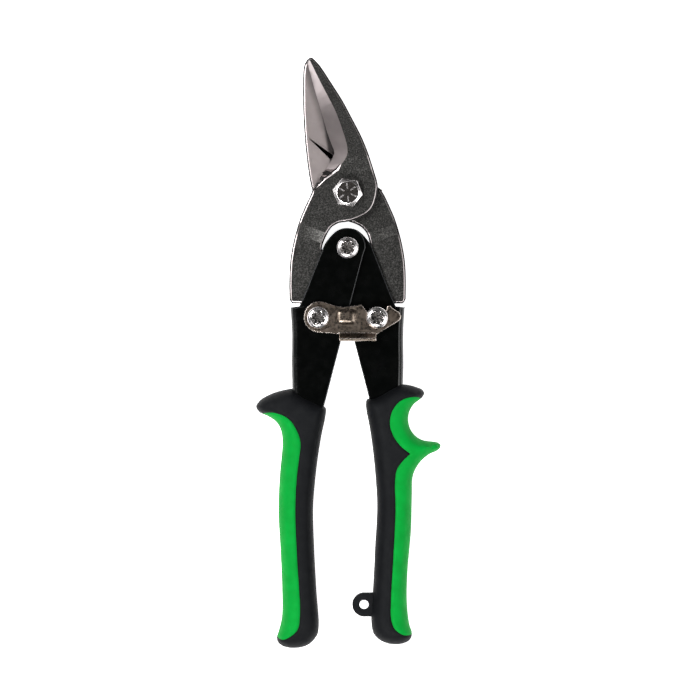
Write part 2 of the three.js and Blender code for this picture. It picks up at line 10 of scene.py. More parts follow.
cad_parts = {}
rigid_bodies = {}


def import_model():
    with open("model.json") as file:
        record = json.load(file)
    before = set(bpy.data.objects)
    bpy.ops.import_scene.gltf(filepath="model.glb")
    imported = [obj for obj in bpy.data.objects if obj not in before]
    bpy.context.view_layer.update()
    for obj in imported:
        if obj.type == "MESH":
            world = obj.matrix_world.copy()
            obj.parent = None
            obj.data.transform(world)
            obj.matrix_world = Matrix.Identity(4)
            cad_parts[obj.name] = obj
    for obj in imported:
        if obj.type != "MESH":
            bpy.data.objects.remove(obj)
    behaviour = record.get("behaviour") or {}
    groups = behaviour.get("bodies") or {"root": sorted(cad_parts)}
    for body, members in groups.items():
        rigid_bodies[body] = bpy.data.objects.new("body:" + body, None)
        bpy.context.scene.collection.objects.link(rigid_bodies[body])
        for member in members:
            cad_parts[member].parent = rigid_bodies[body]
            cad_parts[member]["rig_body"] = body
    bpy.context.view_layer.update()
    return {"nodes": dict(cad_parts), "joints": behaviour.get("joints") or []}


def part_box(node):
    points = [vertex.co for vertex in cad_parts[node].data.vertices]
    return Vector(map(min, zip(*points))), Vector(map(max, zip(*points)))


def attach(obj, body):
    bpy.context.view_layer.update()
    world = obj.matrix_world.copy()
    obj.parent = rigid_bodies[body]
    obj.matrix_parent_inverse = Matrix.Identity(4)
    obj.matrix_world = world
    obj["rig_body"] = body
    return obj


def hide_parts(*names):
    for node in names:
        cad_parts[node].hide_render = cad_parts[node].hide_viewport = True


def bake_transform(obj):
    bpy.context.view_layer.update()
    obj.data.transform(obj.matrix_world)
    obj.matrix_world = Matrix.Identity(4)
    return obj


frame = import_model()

MM = 0.001
SHEAR = 10 * MM          # height of the plane on which the blades slide
PIVOTS = {joint["name"]: Vector(joint["pos_m"][:2]) for joint in frame["joints"]}
HANDLE_PIVOT = PIVOTS["handle_pivot"]
LEFT_LINK = PIVOTS["left_link"]
RIGHT_LINK = PIVOTS["right_link"]
scene = bpy.context.scene


# ---- materials ----

def map_range(tree, value, start, end, at_start, at_end, smooth=False):
    """A node that carries values from start..end over to at_start..at_end."""
    node = tree.nodes.new("ShaderNodeMapRange")
    if smooth:
        node.interpolation_type = "SMOOTHSTEP"
    for socket, number in (("From Min", start), ("From Max", end), ("To Min", at_start), ("To Max", at_end)):
        node.inputs[socket].default_value = number
    tree.links.new(value, node.inputs["Value"])
    return node.outputs["Result"]


class Shader:
    """A principled material, with short ways to add the procedural nodes that drive it."""

    def __init__(self, name, color, roughness, metallic=0.0, **inputs):
        self.material = bpy.data.materials.new(name)
        self.material.use_nodes = True
        self.tree = self.material.node_tree
        self.surface = self.tree.nodes["Principled BSDF"]
        self.set("Base Color", (*color, 1))
        self.set("Roughness", roughness)
        self.set("Metallic", metallic)
        for key, value in inputs.items():
            self.set(key.replace("_", " "), value)
        self.place = self.tree.nodes.new("ShaderNodeTexCoord").outputs["Object"]
        self.height = None

    def set(self, socket, value):
        self.surface.inputs[socket].default_value = value

    def link(self, source, target):
        self.tree.links.new(source, target)

    def noise(self, size, detail=3.0, stretch=(1, 1, 1), turn=0.0):
        """Noise with grains of about that size in metres, stretched along the axes."""
        mapping = self.tree.nodes.new("ShaderNodeMapping")
        mapping.inputs["Rotation"].default_value = (0, 0, turn)
        mapping.inputs["Scale"].default_value = [1 / (size * s) for s in stretch]
        self.link(self.place, mapping.inputs["Vector"])
        texture = self.tree.nodes.new("ShaderNodeTexNoise")
        texture.inputs["Scale"].default_value = 1
        texture.inputs["Detail"].default_value = detail
        self.link(mapping.outputs["Vector"], texture.inputs["Vector"])
        return texture.outputs["Fac"]

    def ramp(self, factor, stops):
        """A colour ramp from (position, colour) stops."""
        node = self.tree.nodes.new("ShaderNodeValToRGB")
        elements = node.color_ramp.elements
        while len(elements) < len(stops):
            elements.new(0.5)
        for element, (position, color) in zip(elements, stops):
            element.position = position
            element.color = (*color, 1)
        self.link(factor, node.inputs["Fac"])
        return node.outputs["Color"]

    def spread(self, factor, low, high, start=0.3, end=0.7):
        """Turns a noise into a value between low and high."""
        return map_range(self.tree, factor, start, end, low, high)

    def across(self, source, direction, start, end, low):
        """A multiplier that falls from 1 to low between two distances along a direction."""
        along = self.tree.nodes.new("ShaderNodeVectorMath")
        along.operation = "DOT_PRODUCT"
        along.inputs[1].default_value = direction
        self.link(source, along.inputs[0])
        return map_range(self.tree, along.outputs["Value"], start, end, 1, low, smooth=True)

    def times(self, color, multiplier):
        """A colour made lighter or darker by a multiplier."""
        node = self.tree.nodes.new("ShaderNodeVectorMath")
        node.operation = "SCALE"
        self.link(color, node.inputs[0])
        self.link(multiplier, node.inputs["Scale"])
        return node.outputs["Vector"]

    def color_from(self, output):
        self.link(output, self.surface.inputs["Base Color"])

    def roughness_from(self, output):
        self.link(output, self.surface.inputs["Roughness"])

    def bump(self, factor, depth, strength=1.0):
        """Adds bumps of that depth in metres, on top of the bumps added before."""
        node = self.tree.nodes.new("ShaderNodeBump")
        node.inputs["Strength"].default_value = strength
        node.inputs["Distance"].default_value = depth
        self.link(factor, node.inputs["Height"])
        if self.height:
            self.link(self.height, node.inputs["Normal"])
        self.height = node.outputs["Normal"]
        self.link(self.height, self.surface.inputs["Normal"])


def forged_steel():
    """Blasted, oiled forging: dark grey with fine light and dark grains, and a painted highlight on faces
    that slope a little.
    """
    shader = Shader("forged_steel", (0.06, 0.06, 0.06), 0.5, 0.8, Specular_IOR_Level=0.3)
    grain = shader.noise(0.5 * MM, 5)
    color = shader.ramp(grain, [(0.32, (0.01, 0.01, 0.0095)), (0.5, (0.028, 0.0275, 0.026)),
                                (0.7, (0.078, 0.076, 0.073))])
    normal = shader.tree.nodes.new("ShaderNodeNewGeometry").outputs["Normal"]
    # painted highlight: faces that slope a little are painted lighter than the level ones, as if they caught
    # more light
    level = shader.across(normal, (0, 0, 1), 0.997, 0.975, 1.45)
    shader.color_from(shader.times(color, level))
    shader.roughness_from(shader.spread(shader.noise(3 * MM), 0.38, 0.52))
    shader.bump(grain, 0.04 * MM, 0.45)
    shader.bump(shader.noise(2.2 * MM, 2), 0.05 * MM, 0.3)
    return shader.material


def ground_steel(name, color, turn, roughness, cutting_edge_shade=()):
    """Steel off the grinding wheel, with fine parallel scratches. relief holds the direction, start,
    end and depth of tone of each band of painted shade beside a cutting edge, where the other
    blade shades the face."""
    shader = Shader(name, color, roughness, 1.0)
    lines = shader.noise(0.12 * MM, 3, (60, 1, 1), turn)
    cloud = shader.noise(7 * MM, 2)
    dark = [c * 0.86 for c in color]
    tone = shader.ramp(cloud, [(0.35, dark), (0.65, color)])
    # painted shade: each band darkens the tone beside the cutting edge
    for shade_band in cutting_edge_shade:
        tone = shader.times(tone, shader.across(shader.place, *shade_band))
    shader.color_from(tone)
    shader.roughness_from(shader.spread(lines, roughness - 0.07, roughness + 0.1))
    shader.bump(lines, 0.005 * MM, 0.25)
    return shader.material


def painted_steep_edge_shade():
    """The steep outer part of a forging's rounded edge, painted nearly black as shade."""
    shader = Shader("steep_edge_shade", (0.012, 0.011, 0.011), 0.6, 0.0, Specular_IOR_Level=0.08)
    shader.roughness_from(shader.spread(shader.noise(0.8 * MM), 0.5, 0.7))
    shader.bump(shader.noise(0.4 * MM, 2), 0.02 * MM, 0.4)
    return shader.material


def polished_steel():
    """The bright, rounded edge of a blade."""
    shader = Shader("polished_steel_edge", (0.36, 0.325, 0.325), 0.34, 1.0)
    shader.roughness_from(shader.spread(shader.noise(0.7 * MM), 0.25, 0.38))
    shader.bump(shader.noise(0.4 * MM, 2), 0.01 * MM, 0.4)
    return shader.material


def black_coating(name, color, shine):
    """Gloss powder coating with a faint orange peel."""
    shader = Shader(name, color, 0.24, 0.0, Specular_IOR_Level=shine)
    shader.roughness_from(shader.spread(shader.noise(4 * MM), 0.2, 0.3))
    shader.bump(shader.noise(1.1 * MM, 2), 0.02 * MM, 0.35)
    return shader.material


def chrome_plate():
    """Bright plating, very slightly uneven."""
    shader = Shader("chrome_plate", (0.96, 0.92, 0.92), 0.25, 1.0)
    shader.roughness_from(shader.spread(shader.noise(1.5 * MM), 0.2, 0.32))
    shader.bump(shader.noise(1.8 * MM, 2), 0.004 * MM, 0.15)
    return shader.material


def painted_recess_shade():
    """The inside of a screw's recess, painted dark as shade, with a random mottle."""
    shader = Shader("painted_recess_shade", (0.05, 0.045, 0.042), 0.4, 0.9)
    shader.color_from(shader.ramp(shader.noise(0.7 * MM), [(0.4, (0.008, 0.0075, 0.007)),
                                                           (0.62, (0.09, 0.083, 0.078))]))
    shader.bump(shader.noise(0.4 * MM), 0.03 * MM, 0.6)
    return shader.material


def painted_bolt_head_shade():
    """The top of the bolt's head, painted dark as shade, with a random mottle."""
    shader = Shader("painted_bolt_head_shade", (0.02, 0.018, 0.016), 0.4, 0.5, Specular_IOR_Level=0.3)
    shader.color_from(shader.ramp(shader.noise(0.6 * MM), [(0.35, (0.008, 0.007, 0.006)),
                                                           (0.65, (0.035, 0.031, 0.028))]))
    shader.bump(shader.noise(0.3 * MM), 0.02 * MM, 0.5)
    return shader.material


def nickel_plate():
    """Warm plating over pressed steel, clouded and lightly rubbed."""
    shader = Shader("nickel_plate", (0.3, 0.25, 0.21), 0.3, 1.0)
    cloud = shader.noise(4 * MM, 2)
    shader.color_from(shader.ramp(cloud, [(0.3, (0.125, 0.1, 0.08)), (0.55, (0.165, 0.134, 0.108)),
                                          (0.75, (0.22, 0.183, 0.152))]))
    shader.roughness_from(shader.spread(shader.noise(1.2 * MM), 0.22, 0.4))
    shader.bump(shader.noise(0.5 * MM, 3), 0.01 * MM, 0.35)
    return shader.material


def painted_nickel_edge_highlight():
    """The latch's edges, painted bright as a highlight."""
    shader = Shader("nickel_edge_highlight", (0.7, 0.62, 0.56), 0.26, 1.0)
    shader.roughness_from(shader.spread(shader.noise(0.7 * MM), 0.2, 0.34))
    shader.bump(shader.noise(0.4 * MM, 2), 0.006 * MM, 0.3)
    return shader.material


def zinc_plate():
    """Pale, spangled plating of the nuts and washers."""
    shader = Shader("zinc_plate", (0.5, 0.51, 0.52), 0.4, 1.0)
    shader.color_from(shader.ramp(shader.noise(1.6 * MM, 4), [(0.3, (0.36, 0.37, 0.39)),
                                                              (0.7, (0.58, 0.59, 0.6))]))
    shader.roughness_from(shader.spread(shader.noise(0.8 * MM), 0.32, 0.5))
    shader.bump(shader.noise(0.4 * MM), 0.015 * MM, 0.4)
    return shader.material


def spring_steel():
    """Drawn wire with marks along it."""
    shader = Shader("spring_steel", (0.2, 0.2, 0.21), 0.35, 1.0)
    lines = shader.noise(0.2 * MM, 3, (1, 12, 12))
    shader.roughness_from(shader.spread(lines, 0.28, 0.45))
    shader.bump(lines, 0.01 * MM, 0.4)
    return shader.material


def grip_rubber(name, color, lighter, roughness):
    """Moulded rubber with a fine, even texture and a faint clouding."""
    shader = Shader(name, color, roughness, 0.0, Specular_IOR_Level=0.06)
    shader.color_from(shader.ramp(shader.noise(5 * MM, 3), [(0.3, color), (0.7, lighter)]))
    shader.roughness_from(shader.spread(shader.noise(1.4 * MM), roughness - 0.06, roughness + 0.06))
    shader.bump(shader.noise(0.35 * MM, 2), 0.03 * MM, 0.35)
    return shader.material


FORGED = forged_steel()
BEVEL_STEEL = ground_steel("ground_bevel_steel", (0.38, 0.335, 0.335), 1.25, 0.36)
# painted shade: two bands darken the rear jaw's face along the front blade's cutting edge
FACE_STEEL = ground_steel("ground_face_steel", (0.37, 0.325, 0.32), 0.33, 0.38, [
    ((0.955, 0.296, 0), -4 * MM, -0.4 * MM, 0.55), ((0.989, 0.151, 0), -6.2 * MM, -4.8 * MM, 0.22)])
POLISHED = polished_steel()
STEEP_EDGE_SHADE = painted_steep_edge_shade()
COATING = black_coating("black_coating", (0.0008, 0.001, 0.0009), 0.07)
# painted highlight: a lighter, shinier copy of the coating for the channels' bends
BEND_HIGHLIGHT_COATING = black_coating("black_coating_bend_highlight", (0.0025, 0.003, 0.003), 0.45)
# painted highlight: a much lighter copy of the coating for the handles' rounded edges
EDGE_HIGHLIGHT_COATING = black_coating("black_coating_edge_highlight", (0.022, 0.023, 0.024), 0.3)
CHROME = chrome_plate()
RECESS_SHADE = painted_recess_shade()
BOLT_HEAD_SHADE = painted_bolt_head_shade()
NICKEL = nickel_plate()
LATCH_EDGE_HIGHLIGHT = painted_nickel_edge_highlight()
ZINC = zinc_plate()
SPRING = spring_steel()
BLACK = grip_rubber("grip_black_rubber", (0.005, 0.0055, 0.0065), (0.0075, 0.008, 0.009), 0.6)
GREEN = grip_rubber("grip_green_rubber", (0.0, 0.22, 0.024), (0.0, 0.265, 0.03), 0.62)


# ---- pieces from meshes ----

def make_piece(name, mesh, materials, body, slot, *nodes):
    """A visible piece that rides on a body and stands for some of the model's nodes."""
    piece = bpy.data.objects.new(name, mesh)
    scene.collection.objects.link(piece)
    for material in materials:
        mesh.materials.append(material)
    if nodes:
        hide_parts(*nodes)
    if body:
        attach(piece, body)
    return piece


def finished_mesh(work, name):
    """A new mesh from a bmesh, with its faces turned outwards."""
    bmesh.ops.recalc_face_normals(work, faces=work.faces)
    mesh = bpy.data.meshes.new(name)
    work.to_mesh(mesh)
    work.free()
    return mesh


def shade(mesh, sharp_degrees=35):
    """Smooth shading, except over edges that turn more than the given angle."""
    work = bmesh.new()
    work.from_mesh(mesh)
    limit = math.radians(sharp_degrees)
    for face in work.faces:
        face.smooth = True
    for edge in work.edges:
        edge.smooth = len(edge.link_faces) == 2 and edge.calc_face_angle(0) < limit
    work.to_mesh(mesh)
    work.free()


def settle(piece):
    """Puts the result of a piece's modifiers into its mesh."""
    graph = bpy.context.evaluated_depsgraph_get()
    mesh = bpy.data.meshes.new_from_object(piece.evaluated_get(graph))
    piece.modifiers.clear()
    piece.data = mesh


GROUND_BORDER = {0, 1}    # where a blade's forged and ground outer faces meet
CRISP = ({1, 3}, {2, 3})  # the borders of a blade's cutting edge are left unrounded
CRISP_ABOVE = 11 * MM     # the ground border is left unrounded too, as far down as its heel
KNIFE = 100               # edges that turn more than this, in degrees, stay sharp
SHARP = 30                # faces that turn more than this, in degrees, meet in a crisp line
FLAT = 0.15               # faces that turn less than this, in degrees, become one
TWIN = 0.002 * MM         # points nearer than this are the same
SHORT = 0.06 * MM         # edges shorter than this are closed up
STEEP = 0.88              # a rounded edge is steep where its normal's rise is less than this; on the blades the steep part is painted dark as shade


def machined(name, node, materials, slot, width, sort_face=None, rim=-1, segments=2, angle=40,
             cut_y=None, wall=None):
    """The node's own shape with its flat faces made whole and its edges rounded.
    sort_face gives each face's material, and rim is the material of the rounded edges. cut_y parts
    the faces along a line across the piece, so that two finishes can meet there. wall is the
    material of the steep outer half of each rounded edge; it paints that half dark as shade."""
    work = bmesh.new()
    work.from_mesh(frame["nodes"][node].data)
    bmesh.ops.remove_doubles(work, verts=work.verts, dist=TWIN)
    bmesh.ops.dissolve_limit(work, angle_limit=math.radians(FLAT), verts=work.verts, edges=work.edges)
    bmesh.ops.remove_doubles(work, verts=work.verts, dist=SHORT)
    if cut_y is not None:
        parts = work.verts[:] + work.edges[:] + work.faces[:]
        bmesh.ops.bisect_plane(work, geom=parts, plane_co=(0, cut_y, 0), plane_no=(0, 1, 0))
    work.normal_update()
    for face in work.faces:
        face.smooth = True
        face.material_index = sort_face(face) if sort_face else 0
    rounded = work.edges.layers.float.new("bevel_weight_edge")
    for edge in work.edges:
        finishes = {face.material_index for face in edge.link_faces}
        turn = edge.calc_face_angle(0)
        edge.smooth = turn < math.radians(SHARP) and len(finishes) == 1
        middle = (edge.verts[0].co.y + edge.verts[1].co.y) / 2
        crisp = finishes in CRISP or (finishes == GROUND_BORDER and middle > CRISP_ABOVE)
        edge[rounded] = math.radians(angle) < turn < math.radians(KNIFE) and not crisp
    mesh = bpy.data.meshes.new(name)
    work.to_mesh(mesh)
    work.free()
    piece = make_piece(name, mesh, materials, None, slot, node)
    bevel = piece.modifiers.new("edges", "BEVEL")
    bevel.width = width
    bevel.segments = segments
    bevel.limit_method = "WEIGHT"
    bevel.use_clamp_overlap = False
    bevel.material = rim
    weighted = piece.modifiers.new("normals", "WEIGHTED_NORMAL")
    weighted.keep_sharp = True
    settle(piece)
    if wall is not None:
        # painted shade: the steep faces of each rounded edge take the dark wall material
        for face in piece.data.polygons:
            if face.material_index == rim and abs(face.normal.z) < STEEP:
                face.material_index = wall
    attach(piece, frame["nodes"][node]["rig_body"])
    return piece


def from_rings(name, rings):
    """A closed mesh through rings of points that all have the same count, capped at both ends."""
    count = len(rings[0])
    work = bmesh.new()
    points = [work.verts.new(point) for ring in rings for point in ring]
    for start in range(0, (len(rings) - 1) * count, count):
        for i in range(count):
            a, b = start + i, start + (i + 1) % count
            work.faces.new([points[a], points[b], points[b + count], points[a + count]])
    work.faces.new(points[count - 1::-1])
    work.faces.new(points[-count:])
    return finished_mesh(work, name)


# ---- blades ----

JAW_START = 1.5 * MM     # the ground faces begin here, where the other blade covers the line
LAND = 1.3 * MM          # height of the polished land along a cutting edge


def blade_faces(side, land):
    """Sorts a blade's faces: 0 forged, 1 ground bevel, 2 ground sliding face, 3 polished edge.
    side is 1 for the front blade, whose outer face looks up, and -1 for the rear one. land is the
    height of the polished land."""
    def sort(face):
        up = face.normal.z * side
        middle = face.calc_center_median()
        height = (middle.z - SHEAR) * side
        on_jaw = middle.y > JAW_START
        if up < -0.97 and height < 0.4 * MM and on_jaw:
            return 2
        step_down = up > 0.97 and abs(face.normal.x) < 0.02
        if on_jaw and 0.2 < up < 0.985 and not step_down:
            return 1
        if on_jaw and abs(up) < 0.3 and height < land:
            return 3
        return 0
    return sort


BLADE_LOOKS = [FORGED, BEVEL_STEEL, FACE_STEEL, POLISHED, STEEP_EDGE_SHADE]
for side, turn in (("front", 1), ("rear", -1)):
    machined(side + "_blade_forging", side + "_blade", BLADE_LOOKS, "forged_blade", 0.9 * MM,
             blade_faces(turn, LAND), rim=3, segments=4, cut_y=JAW_START, wall=4)


# ---- handles and latch ----

def channel_faces(face):
    """Sorts a channel's faces: 0 flat, 1 the bend, which takes a painted highlight."""
    return 1 if 0.2 < abs(face.normal.z) < 0.98 else 0


for side in ("left", "right"):
    # the rounded edges take the painted-highlight copy of the coating
    machined(side + "_handle_channel", side + "_handle", [COATING, BEND_HIGHLIGHT_COATING, EDGE_HIGHLIGHT_COATING],
             "handle_paint", 0.35 * MM, channel_faces, rim=2)
# the latch's rounded edges take the painted highlight
machined("latch_plate", "latch", [NICKEL, LATCH_EDGE_HIGHLIGHT], "nickel_latch", 0.28 * MM, rim=1)
machined("latch_spring_washer", "latch_washer", [NICKEL], "nickel_latch", 0.12 * MM)


# ---- fasteners ----

def circle_ring(centre, radius, height, count):
    """Points round a level circle."""
    steps = [2 * math.pi * i / count for i in range(count)]
    return [(centre.x + radius * math.cos(t), centre.y + radius * math.sin(t), height) for t in steps]


def domed_screw(name, node, body, centre):
    """A plated pan head with a six-lobed recess, on its stem."""
    count = 72
    low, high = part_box(node)
    radius = (high.x - low.x) / 2
    stem = radius * 0.45
    rise = 2.3 * MM                    # height of the head
    rim = 0.55 * MM                    # of which this much is upright
    lip = 2.3 * MM                     # the recess begins this far from the axis
    seat = high.z - rise
    floor = high.z - 1.5 * MM

    def lobes(scale, height):
        """One ring of the recess, with six rounded lobes."""
        ring = []
        for i in range(count):
            t = 2 * math.pi * i / count
            reach = scale * (2.3 + 0.5 * math.cos(6 * t) - 0.08 * math.cos(12 * t)) * MM
            ring.append((centre.x + reach * math.cos(t), centre.y + reach * math.sin(t), height))
        return ring

    def dome(distance):
        """Height of the head at a distance from its axis."""
        part = min(distance / radius, 1)
        return seat + rim + (rise - rim) * math.sqrt(1 - 0.98 * part ** 2)

    rings = [circle_ring(centre, stem, low.z + 0.3 * MM, count),
             circle_ring(centre, stem, seat, count),
             circle_ring(centre, radius - 0.2 * MM, seat, count),
             circle_ring(centre, radius, seat + 0.2 * MM, count),
             circle_ring(centre, radius, seat + rim, count)]
    rings += [circle_ring(centre, radius * s, dome(radius * s), count)
              for s in (0.985, 0.95, 0.88, 0.78, 0.68)]
    rings += [lobes(1.1, dome(lip)), lobes(1.02, dome(2.2 * MM) - 0.04 * MM),
              lobes(0.97, dome(2.2 * MM) - 0.2 * MM), lobes(0.95, floor + 0.1 * MM),
              lobes(0.85, floor), lobes(0.3, floor - 0.25 * MM)]
    mesh = from_rings(name, rings)
    piece = make_piece(name, mesh, [CHROME, RECESS_SHADE], body, "chrome_screw", node)
    # painted shade: faces inside the recess take the dark recess material
    for face in mesh.polygons:
        height = face.center.z
        near_axis = (Vector(face.center[:2]) - centre).length < 3.1 * MM
        if near_axis and seat < height < dome(lip) - 0.08 * MM:
            face.material_index = 1
    shade(mesh, 50)
    return piece


domed_screw("handle_pivot_screw_head", "handle_pivot_screw", "left_handle", HANDLE_PIVOT)
domed_screw("left_link_screw_head", "left_link_screw", "left_handle", LEFT_LINK)
domed_screw("right_link_screw_head", "right_link_screw", "right_handle", RIGHT_LINK)

BOLT_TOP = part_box("pivot_bolt")[1].z


def bolt_faces(face):
    """Sorts the bolt's faces: 0 plated, 1 the top of the head, painted dark as shade."""
    return 1 if face.normal.z > 0.99 and face.calc_center_median().z > BOLT_TOP - 0.1 * MM else 0


machined("main_bolt", "pivot_bolt", [CHROME, BOLT_HEAD_SHADE], "chrome_screw", 0.16 * MM, bolt_faces, rim=0,
         angle=25)


def grade_ticks():
    """Six raised radial bars on the bolt's head, joined in one mesh."""
    work = bmesh.new()
    for k in range(6):
        turn = math.radians(-85 + 60 * k)
        along = Vector((math.cos(turn), math.sin(turn), 0))
        across = Vector((-along.y, along.x, 0))
        corners = []
        for height, inset in ((-0.1, 0), (0.12, 0), (0.22, 0.12)):
            for r, w in ((1.5, 0.24), (4.1, 0.34), (4.1, -0.34), (1.5, -0.24)):
                reach = r + (inset if r < 3 else -inset)
                width = w - math.copysign(inset * 0.7, w)
                place = along * reach * MM + across * width * MM
                corners.append(work.verts.new((place.x, place.y, BOLT_TOP + height * MM)))
        for level in (0, 4):
            for i in range(4):
                j = (i + 1) % 4
                work.faces.new([corners[level + i], corners[level + j],
                                corners[level + 4 + j], corners[level + 4 + i]])
        work.faces.new(corners[3::-1])
        work.faces.new(corners[8:])
    mesh = finished_mesh(work, "main_bolt_ticks")
    return make_piece("main_bolt_ticks", mesh, [CHROME], "front_blade", "chrome_screw")


grade_ticks()
for node, name, width in (("pivot_nut", "main_nut", 0.2), ("pivot_washer", "main_washer", 0.15),
                          ("handle_pivot_nut", "handle_lock_nut", 0.15),
                          ("handle_pivot_sleeve", "handle_spacer_sleeve", 0.12),
                          ("left_link_nut", "left_link_lock_nut", 0.15),
                          ("right_link_nut", "right_link_lock_nut", 0.15)):
    machined(name, node, [ZINC], "zinc_nut", width * MM)


# ---- return spring ----

def return_spring():
    """One and a half turns of wire round the handle pivot, with a leg against each tang."""
    wire, coil, half_rise, turns = 0.65 * MM, 4.9 * MM, 1.2 * MM, 1.5
    x, y = HANDLE_PIVOT
    legs = [(-7.15 * MM, y - 14.7 * MM), (-6.6 * MM, y - 11 * MM), (-6.05 * MM, y - 7.4 * MM),
            (-5.3 * MM, y - 3.2 * MM)]
    path = [(*leg, SHEAR + half_rise) for leg in legs]
    steps = 60
    for i in range(steps + 1):
        part = i / steps
        turn = math.pi - part * turns * 2 * math.pi
        path.append((x + coil * math.cos(turn), y + coil * math.sin(turn),
                     SHEAR + half_rise * (1 - 2 * part)))
    inset = 0.89             # the right leg stands nearer the middle, inside the right tang
    path += [(inset * -px, py, SHEAR - half_rise) for px, py in reversed(legs)]
    route = bpy.data.curves.new("return_spring_wire", "CURVE")
    route.dimensions = "3D"
    route.bevel_depth = wire
    route.bevel_resolution = 4
    route.use_fill_caps = True
    spline = route.splines.new("POLY")
    spline.points.add(len(path) - 1)
    for point, place in zip(spline.points, path):
        point.co = (*place, 1)
    maker = bpy.data.objects.new("return_spring_route", route)
    scene.collection.objects.link(maker)
    graph = bpy.context.evaluated_depsgraph_get()
    mesh = bpy.data.meshes.new_from_object(maker.evaluated_get(graph))
    bpy.data.objects.remove(maker)
    mesh.materials.clear()
    shade(mesh)
    piece = make_piece("return_spring_wire", mesh, [SPRING], None, "spring_steel", "return_spring")
    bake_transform(piece)


return_spring()


# ---- grips ----

def smooth_curve(points, step, closed=False):
    """Points about step apart on a smooth curve through the given ones, all in millimetres."""
    p = np.array(points, float)
    n = len(p)
    out = []
    spans = n if closed else n - 1
    for i in range(spans):
        if closed:
            p0, p1, p2, p3 = p[(i - 1) % n], p[i], p[(i + 1) % n], p[(i + 2) % n]
        else:
            p1, p2 = p[i], p[i + 1]
            p0 = p[i - 1] if i else 2 * p1 - p2
            p3 = p[i + 2] if i + 2 < n else 2 * p2 - p1
        pieces = max(1, int(round(np.linalg.norm(p2 - p1) / step)))
        k01 = max(np.linalg.norm(p1 - p0) ** 0.5, 1e-6)
        k12 = max(np.linalg.norm(p2 - p1) ** 0.5, 1e-6)
        k23 = max(np.linalg.norm(p3 - p2) ** 0.5, 1e-6)
        m1 = (p2 - p1) / k12 - (p2 - p0) / (k01 + k12) + (p1 - p0) / k01
        m2 = (p2 - p1) / k12 - (p3 - p1) / (k12 + k23) + (p3 - p2) / k23
        m1, m2 = m1 * k12, m2 * k12
        for j in range(pieces):
            t = j / pieces
            out.append((2 * t**3 - 3 * t**2 + 1) * p1 + (t**3 - 2 * t**2 + t) * m1
                       + (-2 * t**3 + 3 * t**2) * p2 + (t**3 - t**2) * m2)
    if not closed:
        out.append(p[-1])
    return np.array(out)


def distance_to_line(points, line):
    """Least distance from each point to a polyline."""
    a, b = line[:-1], line[1:]
    run = b - a
    length = np.maximum((run**2).sum(1), 1e-12)
    best = np.full(len(points), 1e9)
    for start, step, square in zip(a, run, length):
        t = np.clip(((points - start) @ step) / square, 0, 1)
        best = np.minimum(best, np.linalg.norm(points - (start + t[:, None] * step), axis=1))
    return best


def inside(points, ring):
    """Which points lie inside a closed outline."""
    x, y = points[:, 0], points[:, 1]
    hit = np.zeros(len(points), bool)
    for (ax, ay), (bx, by) in zip(ring, np.roll(ring, -1, axis=0)):
        if ay != by:
            cross = (ay > y) != (by > y)
            hit ^= cross & (x < (bx - ax) * (y - ay) / (by - ay) + ax)
    return hit


def beside(line, distance):
    """A line's points moved square to it."""
    run = np.gradient(line, axis=0)
    normal = np.stack([run[:, 1], -run[:, 0]], 1)
    return line + distance * normal / np.linalg.norm(normal, axis=1)[:, None]


# the grips' own measures are in millimetres
EDGE_ROUND = 6.2         # how far in from the outline a grip's face stays curved
ROUND_POWER = 2.25       # 2 would be a quarter circle; more is fuller
GRIP_HALF = 9.9          # half the thickness
GROOVE = 0.45            # depth of the parting groove round the inlay
GROOVE_WIDTH = 0.38
RING_DEPTHS = (0.1, 0.35, 0.8, 1.5, 2.4, 3.5, 4.8)    # rows of points inside the outline
FILL_STEP = 1.5          # spacing of the points in the middle
FILL_DEPTH = 5.6         # which keep this far from the outline
SEAM_OFFSETS = (0.18, 0.4, 0.75, 1.2)                 # rows of points on each side of the border
SEAM_CLEAR = 1.5         # all other points keep this far from the border


def grip_height(edge_distance, border_distance):
    """Half thickness of a grip from the distances to its outline and to the inlay's border."""
    part = np.clip(edge_distance / EDGE_ROUND, 0, 1)
    round_over = (1 - (1 - part) ** ROUND_POWER) ** (1 / ROUND_POWER)
    groove = GROOVE * np.exp(-(border_distance / GROOVE_WIDTH) ** 2)
    return GRIP_HALF * round_over - groove * np.minimum(1, edge_distance / 0.8)


